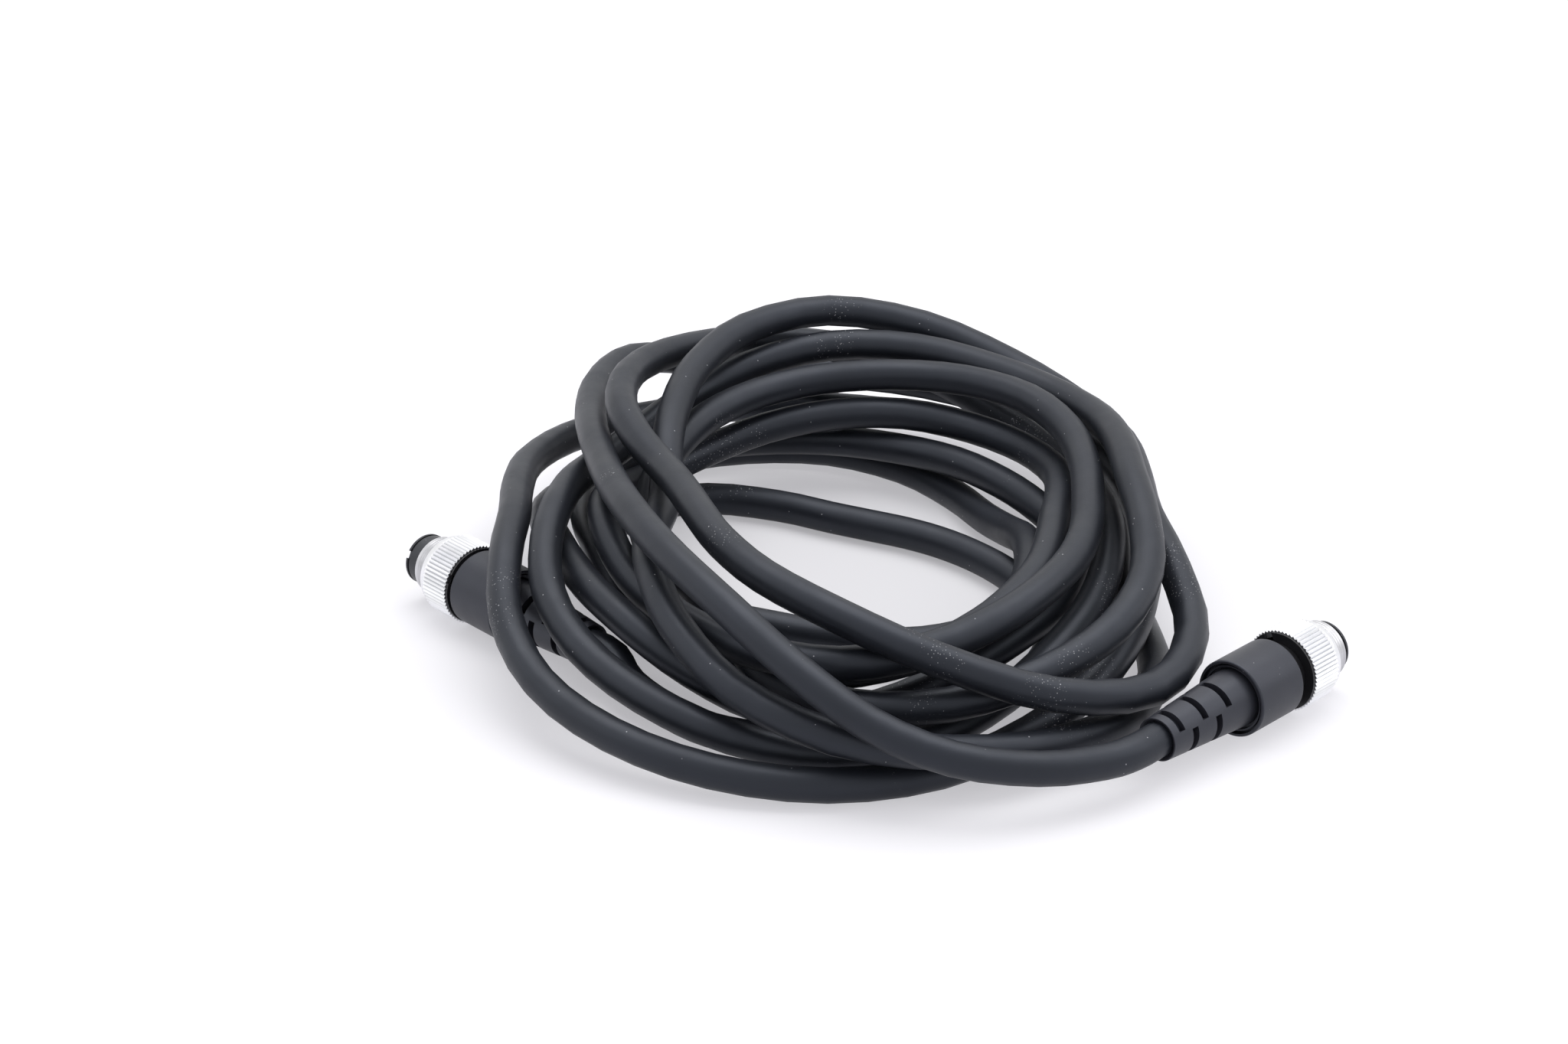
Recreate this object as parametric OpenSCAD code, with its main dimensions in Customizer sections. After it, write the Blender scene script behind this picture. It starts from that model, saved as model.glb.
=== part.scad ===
// Coiled extension cable with a screw-coupling plug at each end.
// The cable lies on the floor plane z = 0. The origin is midway between the two plugs.
// A plug is drawn along +X, from the small end of its strain relief (x = 0) to its contact face.

/* [Cord] */
// Outside diameter of the cord, which the size of the coil follows
cord_d = 6; // [5.6:0.1:6.3]
// Diameter of each insulated core inside the cord
core_d = 1.2; // [1:0.05:1.3]

/* [Coupling ring] */
// Diameter over the knurled grip
ring_d = 14.6; // [14.4:0.1:16]
// Length of the grip with its rounded shoulder
grip_len = 8.2; // [7.8:0.1:10]
// Number of knurls round the grip
knurl_count = 60; // [40:2:72]
// Depth of a knurl
knurl_depth = 0.35; // [0.2:0.05:0.4]
// Length of the plain shoulder in front of the knurls
shoulder_len = 2; // [1.2:0.1:2.4]
// How far the shoulder rounds down
shoulder_drop = 0.9; // [0.5:0.1:1]
// Diameter of the threaded nose
nose_d = 10.4; // [10.2:0.1:11]
// Length of the threaded nose
nose_len = 3.2; // [2.4:0.1:4]
// Thickness of the wall between grip and nose
ring_front_wall = 1.2; // [1:0.1:1.6]
// How far the ring slides along the plug
ring_travel = 2; // [1:0.1:2.2]

/* [Body] */
// Outside diameter of the body shell
body_d = 13.6; // [13.4:0.1:14.2]
// Length of the body shell
body_len = 11.5; // [11.2:0.1:13]
// Wall round the body's hollow
body_wall = 1.05; // [0.9:0.05:1.1]
// Radius of the body's rounded edges
body_round = 0.6; // [0.3:0.1:0.8]
// Thickness of the body's rear wall
rear_wall = 2.2; // [2:0.1:2.6]
// Depth of the two ring grooves in the rear wall
cup_depth = 1.2; // [0.8:0.1:1.4]

/* [Strain relief] */
// Length of the strain relief outside the body
relief_len = 19.8; // [18:0.1:22]
// Diameter at the body
relief_base_d = 10.2; // [9.8:0.1:10.6]
// Diameter at the cord
relief_end_d = 7.6; // [7.2:0.1:8]
// Width of a slot along the cord
slot_w = 1.4; // [0.9:0.1:1.6]
// Angle that a slot spans round the cord
slot_arc = 84; // [70:1:88]
// Distance from the body to the middle of the first slot
slot_start = 5.9; // [5:0.1:6.4]
// Distance from the small end to the middle of the last slot
slot_end = 2.3; // [1.8:0.1:3]
// Thickness of the flange inside the body
relief_flange_t = 1.2; // [1:0.1:1.6]

/* [Contact insert] */
// Diameter of the insert
insert_d = 9.2; // [8.8:0.1:9.3]
// How far the insert stands out of the ring's nose with the ring forward
insert_lead = 1.5; // [1.2:0.1:2]
// Distance from the body's front face to the back of the insert
insert_seat = 0.4; // [0.2:0.1:1]
// Number of contacts
contact_count = 4; // [3:1:5]
// Diameter of the circle on which the contacts stand
contact_circle_d = 3.4; // [3:0.1:3.4]
// Outside diameter of a contact
contact_d = 1.5; // [1.4:0.05:1.6]
// Diameter of the pin hole in a contact
pin_hole_d = 0.9; // [0.6:0.05:1]
// Depth of the pin hole in a contact
pin_hole_len = 7; // [5:0.5:9]

/* [Inner sleeve] */
// Wall of the sleeve that the ring turns on
sleeve_wall = 0.5; // [0.45:0.05:0.6]
// Width of the flange against the body
flange_w = 1; // [0.8:0.1:1.2]
// Thickness of the flange
flange_t = 0.3; // [0.3:0.05:0.5]
// How far the collar that stops the ring stands out of the sleeve
collar_rise = 0.6; // [0.5:0.05:0.65]
// Thickness of the collar
collar_t = 0.8; // [0.6:0.1:1.2]
// Length of the sleeve inside the body
sleeve_seat_len = 4; // [3:0.5:4]

/* [Slip washer] */
// Wall of the washer's hub, which lies inside the ring
hub_wall = 0.8; // [0.75:0.05:0.9]
// Length of the hub
hub_len = 1.9; // [1.6:0.1:2.2]
// How far the lip on the hub stands out into the ring's groove
lip_rise = 0.32; // [0.26:0.02:0.4]
// Length of the lip
lip_len = 0.55; // [0.4:0.05:0.7]
// Thickness of the rim behind the ring
rim_t = 0.4; // [0.3:0.05:0.5]
// Width of the split that lets the washer spring open
washer_split = 1.6; // [1:0.1:2.4]

/* [Crimp ferrule] */
// Length of the ferrule
ferrule_len = 3.6; // [3.2:0.1:4.2]
// Outside diameter of the ferrule's barrel
ferrule_d = 7.6; // [7.4:0.1:8]
// Thickness of the ferrule's flange
ferrule_flange_t = 1; // [0.6:0.1:1.2]

/* [Clearances] */
// Radial play between pieces that turn or slide on each other
running_gap = 0.05; // [0.03:0.01:0.08]
// Radial play between pieces that are assembled once
seat_gap = 0.03; // [0.02:0.01:0.06]
// Play left at each end of the ring's travel
stop_gap = 0.05; // [0.03:0.01:0.1]

/* [Hidden] */
$fn = 96;

// The layout is drawn for a cord of six units, so that it grows and shrinks with the cord
unit = cord_d / 6;

// Where each plug lies: X and Y of its small end, heading, roll and how far its ring is pushed forward
plug_a = [46.8 * unit, -34.9 * unit, 46.5, -27, ring_travel];
plug_b = [-47.4 * unit, -0.7 * unit, 132, -63, 0];
plug_height = ring_d / 2;

// Stations along a plug
body_back = relief_len;
body_front = body_back + body_len;
hollow_back = body_back + rear_wall;
hollow_front = body_front - sleeve_seat_len;
flange_front = body_front + flange_t;
ring_back = flange_front + rim_t + 2 * stop_gap;
ring_inside_front = grip_len - ring_front_wall;
collar_back = ring_back + ring_travel + hub_len + stop_gap;
sleeve_front = ring_back + ring_inside_front - stop_gap;
ferrule_back = hollow_back + relief_flange_t;
ferrule_front = ferrule_back + ferrule_len;
tip = ring_back + ring_travel + grip_len + nose_len + insert_lead;
insert_back = body_front + insert_seat;

// Radii, from the cord outwards
cord_hole_r = cord_d / 2 + seat_gap;
nose_bore_r = insert_d / 2 + running_gap;
sleeve_bore_r = insert_d / 2 + seat_gap;
sleeve_r = sleeve_bore_r + sleeve_wall;
collar_r = sleeve_r + collar_rise;
hub_bore_r = sleeve_r + running_gap;
hub_r = hub_bore_r + hub_wall;
lip_r = hub_r + lip_rise;
flange_r = sleeve_r + flange_w;
hollow_r = body_d / 2 - body_wall;
knurl_root_r = ring_d / 2 - knurl_depth;
rim_r = knurl_root_r - running_gap;

// Contacts
tail_len = 2;
core_seat_len = 1.8;
contact_back = insert_back - tail_len;
contact_mouth = 0.6;
contact_front = tip - contact_mouth;

// How far a cutting shape reaches past what it cuts
cut = 1;

black = [0.16, 0.16, 0.17];
rubber = [0.2, 0.2, 0.21];
blackened = [0.3, 0.3, 0.32];
steel = [0.8, 0.81, 0.83];
brass = [0.8, 0.65, 0.3];
core_colours = ["white", "red", "green", "blue", "yellow"];

// Points of an arc in a profile
function arc(centre, radius, from, to, steps = 6) =
    [for (i = [0:steps]) let (angle = from + (to - from) * i / steps)
        centre + radius * [cos(angle), sin(angle)]];

// A solid turned about the plug's axis from a profile of [radius, station] points
module turned(profile) {
    rotate([0, 90, 0])
        rotate_extrude()
            polygon(profile);
}

// A round bar or hole along the plug's axis
module bar(d, from, to) {
    translate([from, 0, 0])
        rotate([0, 90, 0])
            cylinder(h = to - from, d = d);
}

// Copies of its children on the circle of contacts
module on_contact_circle() {
    for (i = [0:contact_count - 1])
        rotate([360 * i / contact_count + 45, 0, 0])
            translate([0, 0, contact_circle_d / 2])
                children();
}

// Puts a plug's piece where that plug lies
module lay(plug) {
    translate([plug[0], plug[1], plug_height])
        rotate([0, 0, plug[2]])
            rotate([plug[3], 0, 0])
                children();
}

// Black shell with a hollow for the crimp and two ring grooves round the strain relief
module body_shell(plug) {
    r = body_d / 2;
    hole = relief_base_d / 2 + seat_gap;
    groove = (r - hole) / 4;
    color(black) lay(plug) turned(concat(
        [[hole, body_back + cup_depth], [hole + groove, body_back + cup_depth]],
        [[hole + groove, body_back + cup_depth / 3], [hole + 1.7 * groove, body_back + cup_depth / 3]],
        [[hole + 1.7 * groove, body_back + cup_depth], [hole + 2.7 * groove, body_back + cup_depth]],
        [[hole + 2.7 * groove, body_back]],
        arc([r - body_round / 2, body_back + body_round / 2], body_round / 2, -90, 0),
        arc([r - body_round, body_front - body_round], body_round, 0, 90),
        [[sleeve_r + seat_gap, body_front], [sleeve_r + seat_gap, hollow_front]],
        [[hollow_r, hollow_front], [hollow_r, hollow_back], [hole, hollow_back]]
    ));
}

// One slot of the strain relief: a sector of a disc that reaches to the cord
module relief_slot(station, turn) {
    translate([station - slot_w / 2, 0, 0])
        rotate([turn, 0, 0])
            rotate([0, 90, 0])
                rotate([0, 0, 180 - slot_arc / 2])
                    rotate_extrude(angle = slot_arc)
                        translate([cord_d / 4, 0])
                            square([relief_base_d, slot_w]);
}

// Tapered strain relief with staggered slots and a flange held inside the body
module strain_relief(plug) {
    rim = 0.4;
    relief_flange_r = hollow_r - seat_gap;
    pitch = (relief_len - slot_start - slot_end) / 2;
    color(black) lay(plug) difference() {
        turned(concat(
            [[cord_hole_r, rim], [relief_end_d / 2 - rim / 2, 0]],
            arc([relief_end_d / 2 - rim / 4, rim / 4], rim / 4, -90, 0, 3),
            [[relief_base_d / 2, body_back], [relief_base_d / 2, hollow_back]],
            [[relief_flange_r, hollow_back], [relief_flange_r, ferrule_back], [cord_hole_r, ferrule_back]]
        ));
        for (row = [0, 180]) {
            for (i = [0:2])
                relief_slot(body_back - slot_start - i * pitch, row + 45);
            for (i = [0:1])
                relief_slot(body_back - slot_start - (i + 0.5) * pitch, row - 45);
        }
    }
}

// The cord inside the plug
module cord_tail(plug) {
    color(rubber) lay(plug) bar(cord_d, 0, ferrule_front);
}

// Flanged metal sleeve crimped on the cord, with two pressed grooves
module crimp_ferrule(plug) {
    outer = ferrule_d / 2;
    ferrule_flange_r = hollow_r - 4 * seat_gap;
    press = 0.25;
    barrel_back = ferrule_back + ferrule_flange_t;
    third = (ferrule_front - barrel_back) / 3;
    color(steel) lay(plug) turned(concat(
        [[cord_hole_r, ferrule_back], [ferrule_flange_r, ferrule_back]],
        [[ferrule_flange_r, barrel_back], [outer, barrel_back]],
        [for (i = [1:2]) let (groove = barrel_back + i * third)
            each [[outer, groove - third / 3], [outer - press, groove], [outer, groove + third / 3]]],
        [[outer, ferrule_front], [cord_hole_r, ferrule_front]]
    ));
}

// Insulated cores that run from the cord to the contacts
module conductors(plug) {
    lay(plug)
        for (i = [0:contact_count - 1])
            color(core_colours[i])
                rotate([360 * i / contact_count + 45, 0, 0])
                    translate([0, 0, contact_circle_d / 2])
                        bar(core_d, ferrule_front, contact_back + core_seat_len);
}

// Turned contacts, each with a pin hole in front and a cup for its core behind
module contact_sockets(plug) {
    color(brass) lay(plug) on_contact_circle() difference() {
        bar(contact_d, contact_back, contact_front);
        bar(core_d + 2 * seat_gap, contact_back - cut, contact_back + core_seat_len);
        bar(pin_hole_d, contact_front - pin_hole_len, contact_front + cut);
    }
}

// Insulating insert that carries the contacts, with a groove behind its end rim
module contact_insert(plug) {
    r = insert_d / 2;
    rim = 0.5;
    groove = 0.25;
    key_w = 1.4;
    key_depth = 0.7;
    color(black) lay(plug) difference() {
        turned(concat(
            [[0, insert_back], [r, insert_back], [r, tip - 2.2 * rim], [r - groove, tip - 2.2 * rim]],
            [[r - groove, tip - 1.2 * rim], [r, tip - 1.2 * rim]],
            arc([r - rim / 2, tip - rim / 2], rim / 2, 0, 90, 4),
            [[0, tip]]
        ));
        on_contact_circle() {
            bar(contact_d + 2 * seat_gap, insert_back - cut, contact_front);
            bar(pin_hole_d + 4 * seat_gap, insert_back, tip + cut);
        }
        translate([tip - key_depth, -key_w / 2, r - key_depth])
            cube([2 * key_depth, key_w, 2 * key_depth]);
    }
}

// Metal sleeve with the flange, the ring's bearing and the collar that stops the ring
module inner_sleeve(plug) {
    color(blackened) lay(plug) turned([
        [sleeve_bore_r, hollow_front], [sleeve_r, hollow_front], [sleeve_r, body_front],
        [flange_r, body_front], [flange_r, flange_front], [sleeve_r, flange_front],
        [sleeve_r, collar_back], [collar_r, collar_back],
        [collar_r, collar_back + collar_t], [sleeve_r, collar_back + collar_t],
        [sleeve_r, sleeve_front], [sleeve_bore_r, sleeve_front]
    ]);
}

// Split washer that slides on the sleeve: its hub's lip holds the ring, and its rim covers the ring's back
module slip_washer(plug) {
    back = -stop_gap - rim_t;
    color(blackened) lay(plug) translate([ring_back + plug[4], 0, 0]) difference() {
        turned([
            [hub_bore_r, back], [rim_r, back], [rim_r, -stop_gap], [hub_r, -stop_gap],
            [hub_r, hub_len - lip_len], [lip_r, hub_len - lip_len], [lip_r, hub_len], [hub_bore_r, hub_len]
        ]);
        translate([back - cut, -washer_split / 2, 0])
            cube([hub_len - back + 2 * cut, washer_split, ring_d]);
    }
}

// The knurled outline of the grip
module knurled_outline() {
    tooth = 360 / knurl_count;
    polygon([for (i = [0:knurl_count - 1], side = [0, 1])
        (ring_d / 2 - side * knurl_depth) * [cos((i + side / 2) * tooth), sin((i + side / 2) * tooth)]]);
}

// Knurled coupling ring with its rounded shoulder and nose, drawn from its rear edge
module coupling_ring(plug) {
    knurl_len = grip_len - shoulder_len;
    front = grip_len + nose_len;
    chamfer = 0.2;
    sweep = 80;
    color(steel) lay(plug) translate([ring_back + plug[4], 0, 0]) difference() {
        union() {
            rotate([0, 90, 0])
                linear_extrude(knurl_len)
                    knurled_outline();
            turned(concat(
                [[0, knurl_len / 2], [rim_r, knurl_len / 2]],
                [for (i = [0:8]) let (angle = sweep * i / 8)
                    [rim_r - shoulder_drop * (1 - cos(angle)), knurl_len + shoulder_len * sin(angle) / sin(sweep)]],
                [[nose_d / 2, grip_len], [nose_d / 2, front - chamfer], [nose_d / 2 - chamfer, front], [0, front]]
            ));
        }
        turned([
            [0, -cut], [hub_r + running_gap, -cut], [hub_r + running_gap, hub_len - lip_len - stop_gap],
            [lip_r + running_gap, hub_len - lip_len - stop_gap], [lip_r + running_gap, hub_len + stop_gap],
            [collar_r + running_gap, hub_len + stop_gap], [collar_r + running_gap, ring_inside_front],
            [nose_bore_r, ring_inside_front], [nose_bore_r, front + cut], [0, front + cut]
        ]);
    }
}

// The coil's middle and, from there, the points that the cord's free stretches pass through
coil_middle = [-5.5, 29.5, 0];
lead_a_route = [
    [-15, 80, 12], [-28, 77, 16], [-38, 68, 20], [-43, 55, 21], [-44.5, 37, 23], [-43, 19, 25],
    [-39, -5, 27], [-34, -24, 29], [-27, -41, 29], [-18, -55, 27], [-7, -67, 22], [5, -75, 16],
    [18, -79, 12], [32, -77, 9], [43, -72, 7.5]
];
lead_b_route = [[-35, -40, 5], [-28, -47, 3.5], [-21, -53, 3], [-13, -56, 3]];

// A point on a plug's axis
function on_axis(plug, station) =
    [plug[0] + station * cos(plug[2]), plug[1] + station * sin(plug[2]), plug_height];

// The coil, loop by loop from below, seen from above counter-clockwise from the front.
// Each pair is the reach from the coil's middle and the height, an eighth of a loop apart.
loops = [
    [[56, 3], [48, 3], [36, 3], [29, 3], [31, 3], [50, 3], [34, 4], [21, 4]],
    [[21, 4], [38, 8], [37, 9.5], [42, 4], [61, 3], [65, 3], [52, 14], [51, 13]],
    [[49, 5], [45, 10], [44, 11], [46, 10], [55, 9], [57, 9], [43, 12], [45, 8]],
    [[51, 13], [44, 17], [41, 17.5], [52, 14], [52, 16], [47, 13], [43, 20], [45, 15]],
    [[58, 19], [50, 21], [47, 21], [58, 23], [54, 20], [41, 19], [36, 14], [37, 13]],
    [[62, 11], [64, 17], [52, 24], [60, 22], [64, 26], [50, 20], [46, 20], [58, 12]],
    [[63, 5], [52, 10], [50, 13], [60, 11], [73, 20], [54, 28], [32, 27], [33, 28]],
    [[54, 24], [75, 9], [55, 17], [66, 17], [69, 28], [40, 26], [30, 20], [43, 22]],
    [[69, 10], [69, 3], [52, 3], [68, 5], [80, 4], [69, 9], [55, 12], [68, 5]],
    [[74, 3], [64, 5.5], [57, 9], [67, 12], [80, 12]]
];
marks = [for (loop = loops) each loop];
loop_rings = 24;
ring_sides = 6;
mark_rings = loop_rings / 8;
last_ring = (len(marks) - 1) * mark_rings;
settle_passes = 70;
settle_room = 7.3 * unit;
settle_ease = 0.12;
settle_window = 22 * unit;

// A smooth curve through b and c, between its neighbours a and d
function curve(a, b, c, d, t) =
    b + 0.5 * t * (c - a + t * (2 * a - 5 * b + 4 * c - d + t * (3 * (b - c) + d - a)));

function mark(i) = marks[max(0, min(len(marks) - 1, i))];

// The coil's ring number k before it is settled
function wound(k) =
    let (
        i = min(floor(k / mark_rings), len(marks) - 2),
        at = curve(mark(i - 1), mark(i), mark(i + 1), mark(i + 2), k / mark_rings - i),
        angle = 360 * k / loop_rings - 90
    )
    unit * (coil_middle + [at[0] * cos(angle), at[0] * sin(angle), at[1]]);

// From the nearest point of the line from a to b, to p
function offset_from(p, a, b) =
    let (line = b - a, t = max(0, min(1, (p - a) * line / (line * line))))
    p - a - t * line;

function shortest(offsets) =
    let (least = min([for (v = offsets) norm(v)]))
    [for (v = offsets) if (norm(v) == least) v][0];

// How far a point is moved to stand clear by room
function push(v, room, share) =
    let (gap = norm(v))
    gap < room ? v * (share * (room - gap) / gap) : [0, 0, 0];

function total(vectors) = len(vectors) == 0 ? [0, 0, 0] : [for (v = vectors) 1] * vectors;

// Pushes on ring k from the other loops that pass it
function loop_pushes(path, k) =
    [for (lap = [-floor(k / loop_rings) - 1:floor((last_ring - k) / loop_rings) + 1])
        let (near = k + lap * loop_rings)
        if (lap != 0 && norm(path[k] - path[max(0, min(last_ring, near))]) < settle_window)
            let (
                spans = [for (j = [max(0, near - 2):min(last_ring - 1, near + 1)])
                    offset_from(path[k], path[j], path[j + 1])]
            )
            if (len(spans) > 0) push(shortest(spans), settle_room, 0.5)];

// Pushes on a point from lines that stay where they are, each [from, to, room]
function fixed_pushes(p, lines) =
    [for (line = lines) push(offset_from(p, line[0], line[1]), line[2], 0.7)];

// One pass: push apart, ease the moves, stay on the floor
function pass(path, start, lines) =
    let (
        moved = [for (k = [0:last_ring])
            path[k] + total(loop_pushes(path, k)) + total(fixed_pushes(path[k], lines))],
        move = [for (k = [0:last_ring]) moved[k] - start[k]]
    )
    [for (k = [0:last_ring])
        k == 0 || k == last_ring
            ? start[k]
            : let (eased = moved[k] + settle_ease * (move[k - 1] + move[k + 1] - 2 * move[k]))
                [eased[0], eased[1], max(cord_d / 2, eased[2])]];

function settled(path, start, lines, passes) =
    passes == 0 ? path : settled(pass(path, start, lines), start, lines, passes - 1);

// The direction of a path at ring i
function heading(path, i) =
    let (step = path[min(i + 1, len(path) - 1)] - path[max(i - 1, 0)])
    step / norm(step);

// A tube of flat-sided rings along a path, with triangular faces
module tube(path, d, sides) {
    last = len(path) - 1;
    end = last * sides;
    points = [for (i = [0:last])
        let (
            ahead = heading(path, i),
            level = cross([0, 0, 1], ahead),
            side = level / norm(level),
            up = cross(ahead, side)
        )
        for (j = [0:sides - 1])
            path[i] + d / 2 * (cos(360 * j / sides) * up + sin(360 * j / sides) * side)];
    faces = [
        for (i = [0:last - 1], j = [0:sides - 1])
            let (a = i * sides + j, b = i * sides + (j + 1) % sides)
            each [[a, b, b + sides], [a, b + sides, a + sides]],
        for (j = [1:sides - 2]) each [[0, j + 1, j], [end, end + j, end + j + 1]]
    ];
    polyhedron(points, faces);
}

// Tube ends: the coil starts and ends with one straight diameter
coil_start = wound(0) - [cord_d, 0, 0];
coil_end = wound(last_ring) - [cord_d, 0, 0];

function routed(route) = [for (point = route) unit * (coil_middle + point)];

lead_a = concat([coil_end], routed(lead_a_route), [on_axis(plug_a, -cord_d), on_axis(plug_a, 0)]);
lead_b = concat([on_axis(plug_b, 0), on_axis(plug_b, -cord_d)], routed(lead_b_route), [coil_start]);

module cord_lead(route) {
    color(rubber) tube(route, cord_d, 10);
}

// The coil, pushed clear of itself, of the leads and of the plugs
module cord_coil() {
    start = [for (k = [0:last_ring]) wound(k)];
    room = settle_room;
    reach = (cord_d + unit) / 2;
    lines = concat(
        [for (i = [1:len(lead_a) - 2]) [lead_a[i], lead_a[i + 1], room]],
        [for (i = [0:len(lead_b) - 3]) [lead_b[i], lead_b[i + 1], room]],
        [for (plug = [plug_a, plug_b]) each [
            [on_axis(plug, 0), on_axis(plug, relief_len / 2), reach + (relief_base_d + relief_end_d) / 4],
            [on_axis(plug, relief_len / 2), on_axis(plug, relief_len), reach + relief_base_d / 2],
            [on_axis(plug, relief_len), on_axis(plug, body_front), reach + body_d / 2],
            [on_axis(plug, body_front), on_axis(plug, tip), reach + ring_d / 2]
        ]]
    );
    path = concat([coil_start], settled(start, start, lines, settle_passes), [coil_end]);
    far = 5;
    least = min([for (i = [0:len(path) - 1], j = [0:len(path) - 2])
        if (abs(i - j) >= far && abs(i - j - 1) >= far)
            norm(offset_from(path[i], path[j], path[j + 1]))]);
    echo(least_gap_of_the_coil_to_itself_mm = least - cord_d);
    echo(coil_length_mm = total([for (i = [1:len(path) - 1]) [norm(path[i] - path[i - 1]), 0, 0]])[0]);
    color(rubber) tube(path, cord_d, ring_sides);
}

body_shell(plug_a);  // body_shell_a
strain_relief(plug_a);  // strain_relief_a
cord_tail(plug_a);  // cord_tail_a
crimp_ferrule(plug_a);  // crimp_ferrule_a
conductors(plug_a);  // conductors_a
contact_sockets(plug_a);  // contact_sockets_a
contact_insert(plug_a);  // contact_insert_a
inner_sleeve(plug_a);  // inner_sleeve_a
slip_washer(plug_a);  // slip_washer_a
coupling_ring(plug_a);  // coupling_ring_a
body_shell(plug_b);  // body_shell_b
strain_relief(plug_b);  // strain_relief_b
cord_tail(plug_b);  // cord_tail_b
crimp_ferrule(plug_b);  // crimp_ferrule_b
conductors(plug_b);  // conductors_b
contact_sockets(plug_b);  // contact_sockets_b
contact_insert(plug_b);  // contact_insert_b
inner_sleeve(plug_b);  // inner_sleeve_b
slip_washer(plug_b);  // slip_washer_b
coupling_ring(plug_b);  // coupling_ring_b
cord_lead(lead_a);  // cord_lead_a
cord_coil();
cord_lead(lead_b);  // cord_lead_b
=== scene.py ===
import math

import bpy
import numpy as np
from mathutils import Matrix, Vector


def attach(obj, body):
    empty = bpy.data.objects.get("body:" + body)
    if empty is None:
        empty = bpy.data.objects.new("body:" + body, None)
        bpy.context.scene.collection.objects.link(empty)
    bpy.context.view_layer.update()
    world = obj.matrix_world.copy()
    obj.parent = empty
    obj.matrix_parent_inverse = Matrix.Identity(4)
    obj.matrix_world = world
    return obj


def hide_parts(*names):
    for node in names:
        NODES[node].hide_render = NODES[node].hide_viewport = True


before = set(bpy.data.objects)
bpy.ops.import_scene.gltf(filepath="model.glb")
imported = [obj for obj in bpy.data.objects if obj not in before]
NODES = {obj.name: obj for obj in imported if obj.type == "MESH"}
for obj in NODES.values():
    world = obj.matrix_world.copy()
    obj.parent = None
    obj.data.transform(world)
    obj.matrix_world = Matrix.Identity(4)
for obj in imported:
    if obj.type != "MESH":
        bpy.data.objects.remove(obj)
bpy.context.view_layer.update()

# The coiled extension cable dressed: a finish for each piece, the cord as one smooth length, the
# fine threads of the noses, and a white studio with the photo's view.
MM = 0.001
scene = bpy.context.scene
scene.view_settings.view_transform = "Standard"

# ---------------------------------------------------------------- camera
# all in millimetres
CAMERA_LENS, SENSOR_WIDTH = 85.1, 36
CAMERA_PLACE = (-14.2, -569.3, 295.8)
CAMERA_AIM = (-14.2, 65.1, 0)

cam_data = bpy.data.cameras.new("camera")
cam_data.lens = CAMERA_LENS
cam_data.sensor_width = SENSOR_WIDTH
cam = bpy.data.objects.new("camera", cam_data)
scene.collection.objects.link(cam)
cam.location = Vector(CAMERA_PLACE) * MM
cam.rotation_mode = "QUATERNION"
cam.rotation_quaternion = (Vector(CAMERA_AIM) * MM - cam.location).to_track_quat("-Z", "Y")
scene.camera = cam

# ---------------------------------------------------------------- the CAD's sizes, in millimetres
CORD_D = 6
PLUG_H = 7.3
# x, y and heading in degrees of each relief's end, and how far the ring stands forward
PLUG_A = (46.8, -34.9, 46.5, 2)
PLUG_B = (-47.4, -0.7, 132, 0)
# stations on a plug's axis, from the relief's end
RELIEF_LEN, BODY_FRONT, RING_BACK, TIP = 19.8, 31.3, 32.1, 47.0
RELIEF_BASE_D, RELIEF_END_D, BODY_D, RING_D, NOSE_D = 10.2, 7.6, 13.6, 14.6, 10.4
# a ring's grip, the knurled part of it, and its nose
GRIP_LEN, KNURL_LEN, NOSE_LEN = 8.2, 6.15, 3.2

# ---------------------------------------------------------------- the cord's route, in millimetres
COIL_MIDDLE = (-5.5, 29.5, 0)
# the free stretches in x, y and height from the coil's middle, as in the CAD source: lead a runs
# from the coil to its plug, lead b from its plug to the coil
LEAD_A = [
    (-15, 80, 12), (-28, 77, 16), (-38, 68, 20), (-43, 55, 21), (-44.5, 37, 23), (-43, 19, 25),
    (-39, -5, 27), (-34, -24, 29), (-27, -41, 29), (-18, -55, 27), (-7, -67, 22), (5, -75, 16),
    (18, -79, 12), (32, -77, 9), (43, -72, 7.5),
]
LEAD_B = [(-35, -40, 5), (-28, -47, 3.5), (-21, -53, 3), (-13, -56, 3)]
# the coil's reach from its middle and its height, eight marks a loop, as in the CAD source
LOOPS = [
    [[56, 3], [48, 3], [36, 3], [29, 3], [31, 3], [50, 3], [34, 4], [21, 4]],
    [[21, 4], [38, 8], [37, 9.5], [42, 4], [61, 3], [65, 3], [52, 14], [51, 13]],
    [[49, 5], [45, 10], [44, 11], [46, 10], [55, 9], [57, 9], [43, 12], [45, 8]],
    [[51, 13], [44, 17], [41, 17.5], [52, 14], [52, 16], [47, 13], [43, 20], [45, 15]],
    [[58, 19], [50, 21], [47, 21], [58, 23], [54, 20], [41, 19], [36, 14], [37, 13]],
    [[62, 11], [64, 17], [52, 24], [60, 22], [64, 26], [50, 20], [46, 20], [58, 12]],
    [[63, 5], [52, 10], [50, 13], [60, 11], [73, 20], [54, 28], [32, 27], [33, 28]],
    [[54, 24], [75, 9], [55, 17], [66, 17], [69, 28], [40, 26], [30, 20], [43, 22]],
    [[69, 10], [69, 3], [52, 3], [68, 5], [80, 4], [69, 9], [55, 12], [68, 5]],
    [[74, 3], [64, 5.5], [57, 9], [67, 12], [80, 12]],
]
# marks and rings in one loop, and the first one's angle in degrees
LOOP_MARKS, LOOP_RINGS = 8, 24
FIRST_TURN = -90
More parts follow.
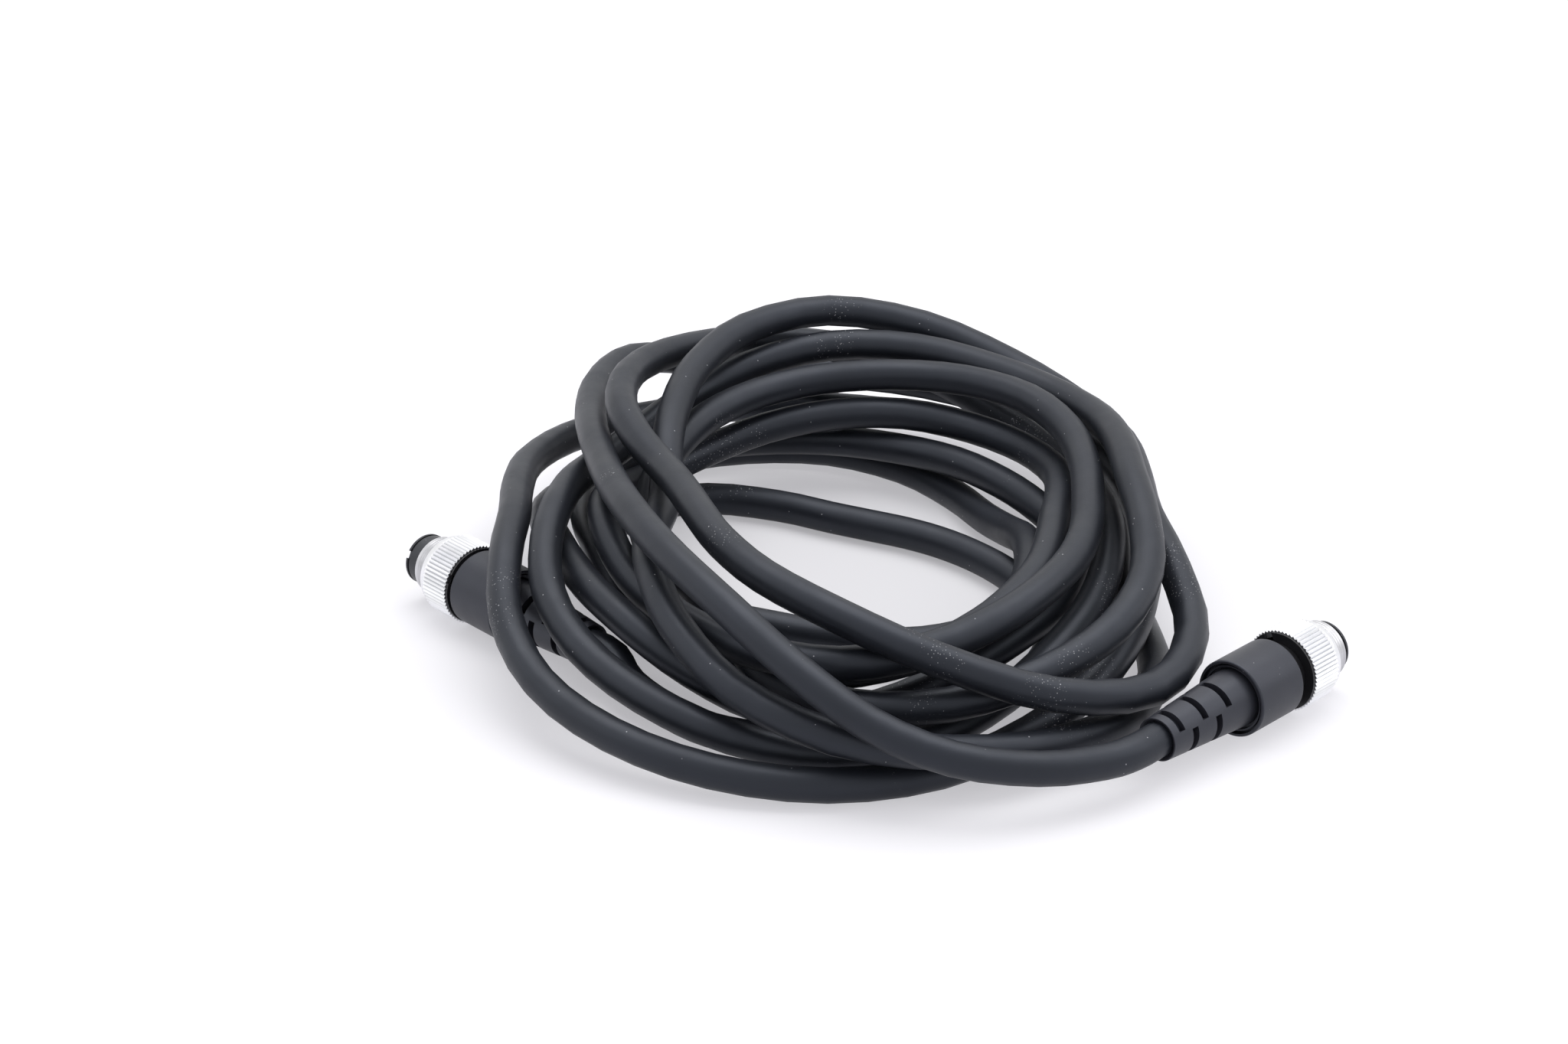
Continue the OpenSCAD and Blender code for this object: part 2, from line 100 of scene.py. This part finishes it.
# settling, as in the CAD source: the room to keep, how much of an overlap with another loop or a
# line is made good in one pass, the evening out of moves, how near a loop has to be to count, and
# what is added to the diameters of a plug and the cord, half of it the gap kept between them
SETTLE_PASSES = 70
SETTLE_ROOM = CORD_D + 1.3
SELF_SHARE, LINE_SHARE = 0.5, 0.7
SETTLE_EASE = 0.12
SETTLE_WINDOW = 22
PLUG_ROOM = 1
# the visible cord has finer points than the CAD's rings
SUBSTEPS = 3
# first its small kinks are evened out, inwards and out again so that the loops don't shrink, and
# by no more than a reach in millimetres
EASE_PASSES = 60
EASE_SHARES = (0.6, -0.625)
EASE_REACH = 1.6
BLEND_SHARE = 0.25
# then it is parted from itself, apart from spans so near along the cord that they always touch,
# and from the plugs, apart from the ends that go into them
PART_PASSES = 60
PART_ROOM = CORD_D + 0.5
PART_EASE = 0.3
NEAR_SPANS = 4 * SUBSTEPS
END_SPANS = 10 * SUBSTEPS


def on_axis(plug, station):
    """A point on a plug's axis."""
    x, y, heading, _ = plug
    turn = math.radians(heading)
    return (x + station * math.cos(turn), y + station * math.sin(turn), PLUG_H)


def curve(a, b, c, d, t):
    """The point at share t of the way from b to c on a smooth curve through a, b, c and d."""
    return b + 0.5 * t * (c - a + t * (2 * a - 5 * b + 4 * c - d + t * (3 * (b - c) + d - a)))


def smooth(points, parts):
    """Points along a smooth curve through points."""
    pts = np.array(points, float)
    out = []
    for i in range(len(pts) - 1):
        a, b, c, d = pts[max(i - 1, 0)], pts[i], pts[i + 1], pts[min(i + 2, len(pts) - 1)]
        out += [curve(a, b, c, d, k / parts) for k in range(parts)]
    return np.array(out + [pts[-1]])


def wound():
    """The coil's rings before they are settled."""
    marks = np.array([m for loop in LOOPS for m in loop], float)
    reach = smooth(marks, LOOP_RINGS // LOOP_MARKS)
    turn = np.radians(360 * np.arange(len(reach)) / LOOP_RINGS + FIRST_TURN)
    return np.column_stack([
        COIL_MIDDLE[0] + reach[:, 0] * np.cos(turn),
        COIL_MIDDLE[1] + reach[:, 0] * np.sin(turn),
        reach[:, 1],
    ])


def offsets(points, starts, ends):
    """From the nearest point of each segment to each point."""
    line = ends - starts
    t = ((points[:, None] - starts[None]) * line[None]).sum(-1) / (line * line).sum(-1)
    return points[:, None] - starts[None] - np.clip(t, 0, 1)[..., None] * line[None]


def off_lines(path, lines, least=0, counts=True):
    """Moves that take the points that count out of the room round lines, each (from, to, room)."""
    starts, ends, rooms = (np.array(column, float) for column in zip(*lines))
    away = offsets(path, starts, ends)
    gaps = np.linalg.norm(away, axis=-1)
    inside = (gaps < rooms) & counts
    share = np.where(inside, LINE_SHARE * (rooms - gaps) / np.maximum(gaps, least), 0)
    return (away * share[..., None]).sum(1)


def bow(path):
    """How far each point's neighbours lie off it."""
    out = np.zeros_like(path)
    out[1:-1] = path[:-2] + path[2:] - 2 * path[1:-1]
    return out


def settle(start, lines):
    """The rings pushed clear of each other and of lines, each (from, to, room)."""
    path = start.copy()
    last = len(path) - 1
    rings = np.arange(last + 1)
    laps = last // LOOP_RINGS + 1
    for _ in range(SETTLE_PASSES):
        away = offsets(path, path[:-1], path[1:])
        gaps = np.linalg.norm(away, axis=-1)
        push = np.zeros_like(path)
        for lap in range(-laps, laps + 1):
            if lap == 0:
                continue
            # the ring at the same turn so many loops on, and the nearest of the spans round it
            near = rings + lap * LOOP_RINGS
            at = path[np.clip(near, 0, last)]
            beside = np.linalg.norm(path - at, axis=1) < SETTLE_WINDOW
            best = np.full(last + 1, np.inf)
            way = np.zeros_like(path)
            for ahead in range(-2, 2):
                seg = near + ahead
                ok = (seg >= 0) & (seg < last) & beside
                seg = np.clip(seg, 0, last - 1)
                gap = np.where(ok, gaps[rings, seg], np.inf)
                closer = gap < best
                best = np.where(closer, gap, best)
                way = np.where(closer[:, None], away[rings, seg], way)
            share = SELF_SHARE * np.maximum(SETTLE_ROOM / best - 1, 0)
            push += way * share[:, None]
        push += off_lines(path, lines)
        path = path + push
        path += SETTLE_EASE * bow(path - start)
        path[:, 2] = np.maximum(path[:, 2], CORD_D / 2)
        path[0], path[-1] = start[0], start[-1]
    return path


def eased(route, lines):
    """The route without small kinks, clear of lines and of itself, and close to where it was."""
    points = np.arange(len(route))
    from_end = np.minimum(points, points[::-1])
    free = np.clip((from_end - SUBSTEPS) / SUBSTEPS, 0, 1)[:, None]
    path = route.copy()
    for _ in range(EASE_PASSES):
        for share in EASE_SHARES:
            path += share / 2 * bow(path) * free
    move = path - route
    far = np.linalg.norm(move, axis=1, keepdims=True)
    move *= np.minimum(1, EASE_REACH / np.maximum(far, EASE_REACH))
    for _ in range(SUBSTEPS):
        move += BLEND_SHARE * bow(move)
    base = route + move * free
    beside = np.abs(points[:, None] - points[None, :-1]) < NEAR_SPANS
    inner = (from_end > END_SPANS)[:, None]
    path = base
    for _ in range(PART_PASSES):
        away = offsets(path, path[:-1], path[1:])
        gaps = np.where(beside, np.inf, np.linalg.norm(away, axis=-1))
        seg = gaps.argmin(1)
        gap = np.minimum(gaps[points, seg], PART_ROOM)
        share = SELF_SHARE * (PART_ROOM - gap) / gap
        push = away[points, seg] * share[:, None] + off_lines(path, lines, 1, inner)
        move = path + push * free - base
        path = base + move + PART_EASE * bow(move) * free
        path[:, 2] = np.maximum(path[:, 2], CORD_D / 2)
    return path


def cord_route():
    """The whole cord from plug a's relief to plug b's."""
    rings = wound()
    straight = np.array([CORD_D, 0, 0])
    coil_start, coil_end = rings[0] - straight, rings[-1] - straight
    free_a = np.array(LEAD_A) + COIL_MIDDLE
    free_b = np.array(LEAD_B) + COIL_MIDDLE
    lead_a = [coil_end, *free_a, on_axis(PLUG_A, -CORD_D), on_axis(PLUG_A, 0)]
    lead_b = [on_axis(PLUG_B, 0), on_axis(PLUG_B, -CORD_D), *free_b, coil_start]
    leads = [(p, q, SETTLE_ROOM) for p, q in zip(lead_a[1:-1], lead_a[2:])]
    leads += [(p, q, SETTLE_ROOM) for p, q in zip(lead_b[:-2], lead_b[1:-1])]
    plugs = []
    for plug in (PLUG_A, PLUG_B):
        marks = [on_axis(plug, s) for s in (0, RELIEF_LEN / 2, RELIEF_LEN, BODY_FRONT, TIP)]
        wide = [(RELIEF_BASE_D + RELIEF_END_D) / 2, RELIEF_BASE_D, BODY_D, RING_D]
        plugs += [(p, q, (CORD_D + PLUG_ROOM) / 2 + w / 2)
                  for p, q, w in zip(marks[:-1], marks[1:], wide)]
    coil = settle(rings, leads + plugs)
    route = np.array([*lead_a[::-1], *coil[::-1], *lead_b[::-1]], float)
    return eased(smooth(route, SUBSTEPS), plugs)


def tube(name, points, radius, resolution, finish, body):
    """A round tube through points in metres, with a radius in millimetres, on a body."""
    data = bpy.data.curves.new(name, "CURVE")
    data.dimensions = "3D"
    data.bevel_depth = radius * MM
    data.bevel_resolution = resolution
    data.use_fill_caps = True
    spline = data.splines.new("POLY")
    spline.points.add(len(points) - 1)
    for point, place in zip(spline.points, points):
        point.co = (*place, 1)
    spline.use_smooth = True
    data.materials.append(finish)
    obj = bpy.data.objects.new(name, data)
    scene.collection.objects.link(obj)
    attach(obj, body)
    return obj


# ---------------------------------------------------------------- materials
# a Mix node has sockets for numbers, vectors and colours: these are the factor's and the colours'
MIX_FACTOR, MIX_A, MIX_B, MIX_COLOUR = 0, 6, 7, 2
DUST, SCUFF, COOL_SHEEN = (0.42, 0.42, 0.44), (0.3, 0.3, 0.31), (0.8, 0.86, 1)
# painted shade in the knurls' grooves: how far under the knurls' tops it is full, and where it
# begins, in millimetres, with the shade's tone and how much of it shows
GROOVE_SHADE_DEPTH, GROOVE_SHADE_TOP = 0.36, 0.16
PAINTED_GROOVE_SHADE, GROOVE_SHADE_SHARE = (0.36, 0.37, 0.39), 0.7


def material(name):
    """A new material with its nodes, its links and its shader."""
    mat = bpy.data.materials.new(name)
    mat.use_nodes = True
    nodes = mat.node_tree.nodes
    return mat, nodes, mat.node_tree.links, nodes["Principled BSDF"]


def node(nodes, kind, **values):
    """A new node with inputs or settings by name."""
    made = nodes.new(kind)
    for key, value in values.items():
        if key in made.inputs:
            made.inputs[key].default_value = value
        else:
            setattr(made, key, value)
    return made


def ramp(nodes, links, source, stops):
    """A colour ramp over source, with stops (place, grey or colour) in rising order."""
    made = nodes.new("ShaderNodeValToRGB")
    made.color_ramp.elements[0].position = stops[0][0]
    made.color_ramp.elements[1].position = stops[-1][0]
    for place, _ in stops[1:-1]:
        made.color_ramp.elements.new(place)
    for element, (_, colour) in zip(made.color_ramp.elements, stops):
        element.color = (*colour, 1) if isinstance(colour, tuple) else (colour,) * 3 + (1,)
    links.new(source, made.inputs["Fac"])
    return made.outputs["Color"]


def bump(nodes, links, height, strength, distance, bsdf):
    """A bump on top of those that the shader has."""
    made = node(nodes, "ShaderNodeBump", Strength=strength, Distance=distance)
    links.new(height, made.inputs["Height"])
    if bsdf.inputs["Normal"].is_linked:
        links.new(bsdf.inputs["Normal"].links[0].from_socket, made.inputs["Normal"])
    links.new(made.outputs["Normal"], bsdf.inputs["Normal"])


def mix(nodes, links, factor, a, b):
    """Colour a where factor is 0 and b where it is 1, each a socket or a colour."""
    made = nodes.new("ShaderNodeMix")
    made.data_type = "RGBA"
    links.new(factor, made.inputs[MIX_FACTOR])
    for socket, value in ((MIX_A, a), (MIX_B, b)):
        if isinstance(value, bpy.types.NodeSocket):
            links.new(value, made.inputs[socket])
        else:
            made.inputs[socket].default_value = (*value, 1)
    return made.outputs[MIX_COLOUR]


def noise(nodes, links, coords, scale, detail, rough=0.5, stretch=None):
    """Soft noise from 0 to 1, at a scale per metre."""
    if stretch:
        mapping = node(nodes, "ShaderNodeMapping", Scale=stretch)
        links.new(coords, mapping.inputs["Vector"])
        coords = mapping.outputs["Vector"]
    made = node(nodes, "ShaderNodeTexNoise", Scale=scale, Detail=detail, Roughness=rough)
    links.new(coords, made.inputs["Vector"])
    return made.outputs["Fac"]


def scaled(tone, factor):
    """A tone made darker or lighter."""
    return tuple(factor * t for t in tone)


def mottled(nodes, links, source, shade_by_depth, high):
    """From low to high over the part of a noise's range where nearly all of it lies."""
    return ramp(nodes, links, source, [(0.3, shade_by_depth), (0.7, high)])


def specks(nodes, links, coords, scale, size, share):
    """Small round specks in a share of the cells, 1 inside a speck and soft at its edge."""
    made = node(nodes, "ShaderNodeTexVoronoi", Scale=scale)
    links.new(coords, made.inputs["Vector"])
    dot = ramp(nodes, links, made.outputs["Distance"], [(size * 0.6, 1.0), (size, 0.0)])
    pick = nodes.new("ShaderNodeSeparateColor")
    links.new(made.outputs["Color"], pick.inputs["Color"])
    chosen = node(nodes, "ShaderNodeMath", operation="LESS_THAN")
    links.new(pick.outputs["Red"], chosen.inputs[0])
    chosen.inputs[1].default_value = share
    return times(nodes, links, dot, chosen.outputs[0])


def times(nodes, links, a, b):
    """The product of a and b, each a socket or a number."""
    made = node(nodes, "ShaderNodeMath", operation="MULTIPLY")
    for socket, value in zip(made.inputs, (a, b)):
        if isinstance(value, bpy.types.NodeSocket):
            links.new(value, socket)
        else:
            socket.default_value = value
    return made.outputs[0]


def black_rubber(name, tone, rough, sheen, grain, dust):
    """Black jacket or moulding with a dull mottle, rubbed marks, fine dust and scuffed patches."""
    mat, nodes, links, bsdf = material(name)
    coords = nodes.new("ShaderNodeTexCoord").outputs["Object"]
    base = mottled(nodes, links, noise(nodes, links, coords, 60, 4),
                   scaled(tone, 0.8), scaled(tone, 1.25))
    rubbed = ramp(nodes, links, noise(nodes, links, coords, 110, 6, 0.7), [(0.66, 0.0), (0.8, 1.0)])
    base = mix(nodes, links, times(nodes, links, rubbed, 0.3), base, scaled(tone, 3.5))
    base = mix(nodes, links, specks(nodes, links, coords, 520, 0.07, dust), base, DUST)
    patches = ramp(nodes, links, noise(nodes, links, coords, 40, 2), [(0.63, 0.0), (0.67, 1.0)])
    scuffs = times(nodes, links, patches, specks(nodes, links, coords, 2000, 0.22, 2 * dust))
    base = mix(nodes, links, scuffs, base, SCUFF)
    links.new(base, bsdf.inputs["Base Color"])
    gloss = mottled(nodes, links, noise(nodes, links, coords, 90, 5, 0.6),
                    rough - 0.05, rough + 0.08)
    links.new(gloss, bsdf.inputs["Roughness"])
    bsdf.inputs["Specular IOR Level"].default_value = sheen
    bsdf.inputs["Specular Tint"].default_value = (*COOL_SHEEN, 1)
    bump(nodes, links, noise(nodes, links, coords, grain, 4, 0.6), 0.12, 0.0001, bsdf)
    bump(nodes, links, noise(nodes, links, coords, 70, 2), 0.2, 0.0006, bsdf)
    return mat


def ring_metal_with_groove_shade(name, plug):
    """Pale satin metal of a coupling ring, with painted shade between the knurls, and greyer on the
    worn nose.
    """
    x, y, heading, forward = plug
    mat, nodes, links, bsdf = material(name)
    coords = nodes.new("ShaderNodeTexCoord").outputs["Object"]
    from_axis = node(nodes, "ShaderNodeMapping", vector_type="TEXTURE",
                     Location=(x * MM, y * MM, PLUG_H * MM),
                     Rotation=(0, 0, math.radians(heading)))
    links.new(coords, from_axis.inputs["Vector"])
    place = nodes.new("ShaderNodeSeparateXYZ")
    links.new(from_axis.outputs["Vector"], place.inputs["Vector"])
    across = nodes.new("ShaderNodeCombineXYZ")
    links.new(place.outputs["Y"], across.inputs["Y"])
    links.new(place.outputs["Z"], across.inputs["Z"])
    reach = node(nodes, "ShaderNodeVectorMath", operation="LENGTH")
    links.new(across.outputs["Vector"], reach.inputs[0])
    # painted shade between the knurls: darker the deeper under the knurls' tops, on the knurled
    # part only
    depth = node(nodes, "ShaderNodeMapRange")
    depth.inputs["From Min"].default_value = (RING_D / 2 - GROOVE_SHADE_DEPTH) * MM
    depth.inputs["From Max"].default_value = (RING_D / 2 - GROOVE_SHADE_TOP) * MM
    links.new(reach.outputs["Value"], depth.inputs["Value"])
    knurls = node(nodes, "ShaderNodeMath", operation="LESS_THAN")
    links.new(place.outputs["X"], knurls.inputs[0])
    knurls.inputs[1].default_value = (RING_BACK + forward + KNURL_LEN) * MM
    shade_by_depth = ramp(nodes, links, depth.outputs["Result"], [(0.0, 1.0), (1.0, 0.0)])
    painted_groove_shade = times(nodes, links, times(nodes, links, shade_by_depth, knurls.outputs[0]), GROOVE_SHADE_SHARE)
    stain = noise(nodes, links, coords, 160, 5, 0.6)
    base = ramp(nodes, links, stain, [(0.3, (0.72, 0.73, 0.75)), (0.65, (0.83, 0.83, 0.85))])
    base = mix(nodes, links, painted_groove_shade, base, PAINTED_GROOVE_SHADE)
    nose = node(nodes, "ShaderNodeMath", operation="GREATER_THAN")
    links.new(place.outputs["X"], nose.inputs[0])
    nose.inputs[1].default_value = (RING_BACK + forward + GRIP_LEN) * MM
    streaks = noise(nodes, links, from_axis.outputs["Vector"], 260, 3, 0.6, stretch=(1, 0.25, 0.25))
    worn = ramp(nodes, links, streaks, [(0.35, (0.44, 0.44, 0.46)), (0.65, (0.64, 0.64, 0.66))])
    links.new(mix(nodes, links, nose.outputs[0], base, worn), bsdf.inputs["Base Color"])
    bsdf.inputs["Metallic"].default_value = 1
    gloss = mottled(nodes, links, noise(nodes, links, coords, 300, 5, 0.6), 0.3, 0.42)
    links.new(gloss, bsdf.inputs["Roughness"])
    turned = noise(nodes, links, from_axis.outputs["Vector"], 700, 2, 0.5, stretch=(4, 0.05, 0.05))
    bump(nodes, links, turned, 0.05, 0.0001, bsdf)
    return mat


def plain_pieces(name, tones, rough, metallic=0.0):
    """Finish of small inner pieces: one mottled tone, or a plain tone for each core."""
    mat, nodes, links, bsdf = material(name)
    coords = nodes.new("ShaderNodeTexCoord").outputs["Object"]
    if len(tones) > 1:
        island = nodes.new("ShaderNodeNewGeometry").outputs["Random Per Island"]
        base = ramp(nodes, links, island, [(i / len(tones), t) for i, t in enumerate(tones)])
    else:
        base = mottled(nodes, links, noise(nodes, links, coords, 200, 3),
                       scaled(tones[0], 0.85), tones[0])
    links.new(base, bsdf.inputs["Base Color"])
    bsdf.inputs["Metallic"].default_value = metallic
    gloss = mottled(nodes, links, noise(nodes, links, coords, 350, 3), rough - 0.04, rough + 0.06)
    links.new(gloss, bsdf.inputs["Roughness"])
    return mat


JACKET = black_rubber("cord jacket", (0.0085, 0.0097, 0.0135),
                      rough=0.46, sheen=0.45, grain=2600, dust=0.35)
MOULDING = black_rubber("satin moulding", (0.019, 0.019, 0.0245),
                        rough=0.42, sheen=0.52, grain=3200, dust=0.02)
INSERT = black_rubber("insulator", (0.03, 0.03, 0.031),
                      rough=0.42, sheen=0.45, grain=3200, dust=0.02)
RING = {"a": ring_metal_with_groove_shade("ring metal with groove shade a", PLUG_A), "b": ring_metal_with_groove_shade("ring metal with groove shade b", PLUG_B)}
BLACKENED = plain_pieces("blackened steel", [(0.022, 0.022, 0.025)], 0.32, metallic=0.3)
PLATED = plain_pieces("plated steel", [(0.6, 0.6, 0.62)], 0.3, metallic=1)
GILT = plain_pieces("gilt brass", [(0.85, 0.62, 0.25)], 0.25, metallic=1)
CORES = plain_pieces("core insulation", [
    (0.75, 0.75, 0.72), (0.5, 0.03, 0.02), (0.02, 0.2, 0.05), (0.02, 0.06, 0.35),
], 0.35)

FINISH = {
    "body_shell": MOULDING, "strain_relief": MOULDING, "cord_tail": JACKET,
    "crimp_ferrule": PLATED, "conductors": CORES, "contact_sockets": GILT,
    "contact_insert": INSERT, "inner_sleeve": BLACKENED, "slip_washer": BLACKENED,
}
for part, obj in NODES.items():
    kind, end = part.rsplit("_", 1)
    finish = RING[end] if kind == "coupling_ring" else FINISH.get(kind, JACKET)
    obj.data.materials.clear()
    obj.data.materials.append(finish)

# ---------------------------------------------------------------- the cord
route = cord_route() * MM
cord = tube("cord", route, CORD_D / 2, resolution=5, finish=JACKET, body="cable")
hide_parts("cord_lead_a", "cord_coil", "cord_lead_b")


# ---------------------------------------------------------------- the noses' fine threads
THREAD_PITCH = 0.55
TURN_POINTS = 40
RIDGE_R = 0.12
# bare nose behind and in front of the ridge
THREAD_START, THREAD_END = 0.5, 0.35
# how deep the ridge's middle lies in the nose, and how much deeper where it runs out
RIDGE_SUNK, RUN_OUT = 0.06, 0.1


def thread(end, plug):
    """A fine ridge that winds along a ring's nose."""
    x, y, heading, forward = plug
    first = RING_BACK + forward + GRIP_LEN + THREAD_START
    last = RING_BACK + forward + GRIP_LEN + NOSE_LEN - THREAD_END
    count = int(TURN_POINTS * (last - first) / THREAD_PITCH)
    turn = math.radians(heading)
    ahead = np.array((math.cos(turn), math.sin(turn), 0))
    side = np.array((-ahead[1], ahead[0], 0))
    up = np.array((0, 0, 1))
    ridge = []
    for i in range(count):
        angle = 2 * math.pi * i / TURN_POINTS
        along = first + (last - first) * i / (count - 1)
        sunk = RIDGE_SUNK + RUN_OUT * max(0, 1 - min(i, count - 1 - i) / TURN_POINTS)
        reach = NOSE_D / 2 - sunk
        place = (np.array((x, y, PLUG_H)) + along * ahead
                 + reach * (math.cos(angle) * side + math.sin(angle) * up))
        ridge.append(place * MM)
    tube(f"thread_{end}", ridge, RIDGE_R, resolution=1, finish=RING[end], body=f"ring_{end}")


thread("a", PLUG_A)
thread("b", PLUG_B)

# ---------------------------------------------------------------- floor and light
WHITE_FLOOR = (0.37, 0.37, 0.38)
FLOOR_SIDE, FLOOR_ROUGHNESS = 6, 0.7
# the floor's own light, and its share by distance from the coil's middle in metres: the smaller
# share near the middle is painted shade on the floor inside the coil
LIFT_COLOUR, LIFT = (0.97, 0.96, 1), 0.6
COIL_SHADE_STOPS = [(0.04, 0.6), (0.085, 1.0)]
SKY_COLOUR, SKY = (0.95, 0.95, 1), 0.6


def seen_directly(nodes, links):
    """1 for rays from the camera, off shiny surfaces and through clear ones."""
    path = nodes.new("ShaderNodeLightPath")
    total = path.outputs["Is Camera Ray"]
    for kind in ("Is Glossy Ray", "Is Transmission Ray"):
        made = node(nodes, "ShaderNodeMath", operation="ADD", use_clamp=True)
        links.new(total, made.inputs[0])
        links.new(path.outputs[kind], made.inputs[1])
        total = made.outputs[0]
    return total


bpy.ops.mesh.primitive_plane_add(size=FLOOR_SIDE, location=(0, 0, 0))
floor = bpy.context.object
floor.name = "floor"
mat, nodes, links, bsdf = material("pale floor")
coords = nodes.new("ShaderNodeTexCoord").outputs["Object"]
links.new(mottled(nodes, links, noise(nodes, links, coords, 3, 2),
                  WHITE_FLOOR, scaled(WHITE_FLOOR, 1.01)), bsdf.inputs["Base Color"])
bsdf.inputs["Roughness"].default_value = FLOOR_ROUGHNESS
lift = node(nodes, "ShaderNodeEmission", Color=(*LIFT_COLOUR, 1))
# painted shade: less of the floor's own light on the floor inside the coil
from_middle = node(nodes, "ShaderNodeVectorMath", operation="DISTANCE")
links.new(coords, from_middle.inputs[0])
from_middle.inputs[1].default_value = Vector(COIL_MIDDLE) * MM
lift_share_with_painted_shade = ramp(nodes, links, from_middle.outputs["Value"], COIL_SHADE_STOPS)
seen = times(nodes, links, seen_directly(nodes, links), lift_share_with_painted_shade)
links.new(times(nodes, links, seen, LIFT), lift.inputs["Strength"])
both = nodes.new("ShaderNodeAddShader")
links.new(bsdf.outputs["BSDF"], both.inputs[0])
links.new(lift.outputs["Emission"], both.inputs[1])
links.new(both.outputs["Shader"], nodes["Material Output"].inputs["Surface"])
floor.data.materials.append(mat)


def area_light(name, place, target, size, power, colour):
    """A lamp at a place that faces a target, with sizes in metres and power in watts."""
    data = bpy.data.lights.new(name, "AREA")
    data.shape = "RECTANGLE"
    data.size, data.size_y = size
    data.energy = power
    data.color = colour
    obj = bpy.data.objects.new(name, data)
    scene.collection.objects.link(obj)
    obj.location = place
    obj.rotation_mode = "QUATERNION"
    obj.rotation_quaternion = (Vector(target) - Vector(place)).to_track_quat("-Z", "Y")


area_light("top", place=(0.05, 0.3, 1.1), target=(0, 0.02, 0), size=(1.3, 1), power=11,
           colour=(1, 0.995, 0.985))
area_light("left", place=(-1.1, -0.1, 0.8), target=(0, 0, 0), size=(0.9, 0.9), power=1.8,
           colour=(0.97, 0.98, 1))
area_light("right", place=(1.1, 0.1, 0.8), target=(0, 0, 0), size=(0.9, 0.9), power=3.2,
           colour=(0.98, 0.98, 1))

world = bpy.data.worlds.new("studio")
scene.world = world
world.use_nodes = True
nodes, links = world.node_tree.nodes, world.node_tree.links
sky = nodes["Background"]
sky.inputs["Color"].default_value = (*SKY_COLOUR, 1)
sky.inputs["Strength"].default_value = SKY
backdrop = node(nodes, "ShaderNodeBackground", Color=(1, 1, 1, 1), Strength=1)
choose = nodes.new("ShaderNodeMixShader")
links.new(seen_directly(nodes, links), choose.inputs["Fac"])
links.new(sky.outputs["Background"], choose.inputs[1])
links.new(backdrop.outputs["Background"], choose.inputs[2])
links.new(choose.outputs["Shader"], nodes["World Output"].inputs["Surface"])
